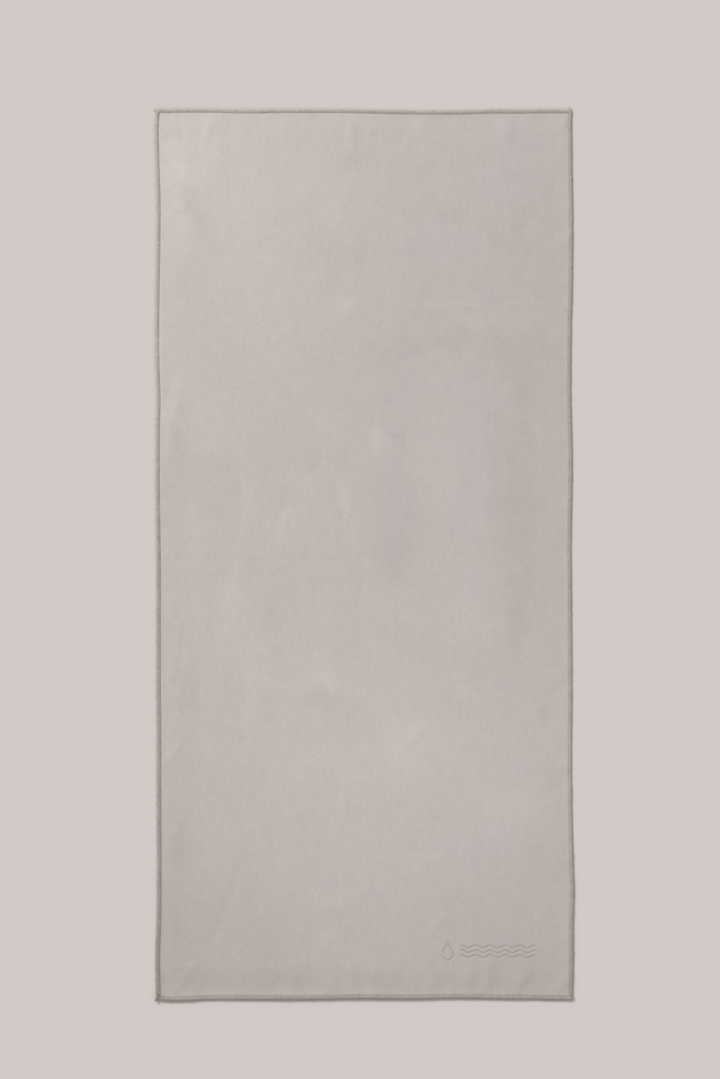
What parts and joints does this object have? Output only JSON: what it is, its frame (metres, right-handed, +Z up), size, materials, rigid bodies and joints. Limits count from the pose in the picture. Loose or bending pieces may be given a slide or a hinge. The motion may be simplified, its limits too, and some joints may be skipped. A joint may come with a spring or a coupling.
{
  "type": "quick dry towel",
  "caption": "Thin rectangular microfibre travel towel lying flat, with an overlocked seam sewn separately along each side and a short chained thread tail at each corner.",
  "frame": {"origin": "under the centre of the towel, on the surface that it lies on", "axes": "+Z up out of the front face, +Y along the towel's length towards its top edge, +X along its width towards its right edge as seen from the front"},
  "size_m": [0.4032, 0.8532, 0.0014],
  "materials": {
    "cloth": "warm grey microfibre suede, short soft nap, matte with a faint sheen",
    "thread": "taupe textured polyester sewing thread, matte"
  },
  "bodies": {
    "root": {"towel_panel": "cloth", "top_seam_upper_looper_thread": "thread", "top_seam_lower_looper_thread": "thread", "top_seam_needle_thread": "thread", "top_seam_chain_tail": "thread", "right_seam_upper_looper_thread": "thread", "right_seam_lower_looper_thread": "thread", "right_seam_needle_thread": "thread", "right_seam_chain_tail": "thread", "bottom_seam_upper_looper_thread": "thread", "bottom_seam_lower_looper_thread": "thread", "bottom_seam_needle_thread": "thread", "bottom_seam_chain_tail": "thread", "left_seam_upper_looper_thread": "thread", "left_seam_lower_looper_thread": "thread", "left_seam_needle_thread": "thread", "left_seam_chain_tail": "thread"}
  },
  "joints": []
}
